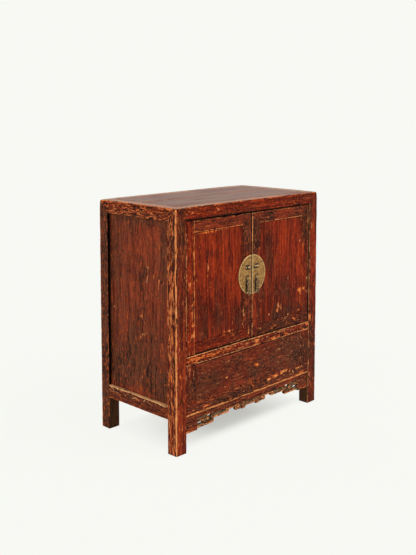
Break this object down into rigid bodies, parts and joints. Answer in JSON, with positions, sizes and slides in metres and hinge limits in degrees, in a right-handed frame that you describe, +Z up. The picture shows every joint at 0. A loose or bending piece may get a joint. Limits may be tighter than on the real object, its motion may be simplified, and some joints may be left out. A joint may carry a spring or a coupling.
{
  "type": "kang cabinet",
  "caption": "Low square-cornered lacquered cabinet with two pivoted doors, a split round brass lock plate, drop pulls, a flush lower panel and a carved apron.",
  "frame": {"origin": "on the floor, at the middle of the frame's footprint", "axes": "+Z up, front faces -Y, +X to the right seen from the front"},
  "size_m": [0.815, 0.4369, 0.9],
  "materials": {
    "lacquer": "aged red-brown lacquer, streaked dark, worn to orange wood along the edges",
    "top_lacquer": "dusty grey-brown worn lacquer",
    "plain_wood": "unlacquered wood, darkened with age",
    "brass": "aged brass, brushed soft by use, with darker speckles"
  },
  "bodies": {
    "carcass": {"apron": "lacquer", "back_panel_lower": "plain_wood", "back_panel_upper": "plain_wood", "bottom_rail_back": "lacquer", "bottom_rail_front": "lacquer", "bottom_rail_left": "lacquer", "bottom_rail_right": "lacquer", "floor_bearers": "plain_wood", "floor_cleats": "plain_wood", "lower_panel": "lacquer", "lower_stile_left": "lacquer", "lower_stile_right": "lacquer", "main_floor": "plain_wood", "mid_rail_back": "lacquer", "mid_rail_front": "lacquer", "post_back_left": "lacquer", "post_back_right": "lacquer", "post_front_left": "lacquer", "post_front_right": "lacquer", "shelf": "plain_wood", "shelf_cleats": "plain_wood", "side_panel_left": "lacquer", "side_panel_right": "lacquer", "store_floor": "plain_wood", "top_battens": "plain_wood", "top_board_back": "top_lacquer", "top_board_front": "top_lacquer", "top_rail_back": "lacquer", "top_rail_front": "lacquer", "top_rail_left": "lacquer", "top_rail_right": "lacquer"},
    "door_left": {"door_left_battens": "plain_wood", "door_left_bottom_rail": "lacquer", "door_left_hinge_stile": "lacquer", "door_left_lock_lug": "brass", "door_left_lock_plate": "brass", "door_left_lock_stile": "lacquer", "door_left_panel": "lacquer", "door_left_plate_nails": "brass", "door_left_pull_rosette": "brass", "door_left_pull_staple": "brass", "door_left_top_rail": "lacquer"},
    "door_right": {"door_right_battens": "plain_wood", "door_right_bottom_rail": "lacquer", "door_right_hinge_stile": "lacquer", "door_right_lock_lug": "brass", "door_right_lock_plate": "brass", "door_right_lock_stile": "lacquer", "door_right_panel": "lacquer", "door_right_plate_nails": "brass", "door_right_pull_rosette": "brass", "door_right_pull_staple": "brass", "door_right_top_rail": "lacquer"},
    "pull_left": {"pull_left": "brass"},
    "pull_right": {"pull_right": "brass"},
    "store_lid": {"store_lid": "plain_wood"}
  },
  "joints": [
    {"name": "door_left_hinge", "type": "hinge", "parent": "carcass", "child": "door_left", "pos_m": [-0.347, -0.201, 0.604], "axis": [0, 0, -1], "range_deg": [0, 95]},
    {"name": "door_right_hinge", "type": "hinge", "parent": "carcass", "child": "door_right", "pos_m": [0.347, -0.201, 0.604], "axis": [0, 0, 1], "range_deg": [0, 95]},
    {"name": "pull_left_swing", "type": "hinge", "parent": "door_left", "child": "pull_left", "pos_m": [-0.026, -0.2184, 0.596], "axis": [-1, 0, 0], "range_deg": [-3, 80]},
    {"name": "pull_right_swing", "type": "hinge", "parent": "door_right", "child": "pull_right", "pos_m": [0.026, -0.2184, 0.596], "axis": [-1, 0, 0], "range_deg": [-3, 80]},
    {"name": "store_lid_lift", "type": "slide", "parent": "carcass", "child": "store_lid", "axis": [0, 0, 1], "range_m": [0, 0.22]}
  ]
}
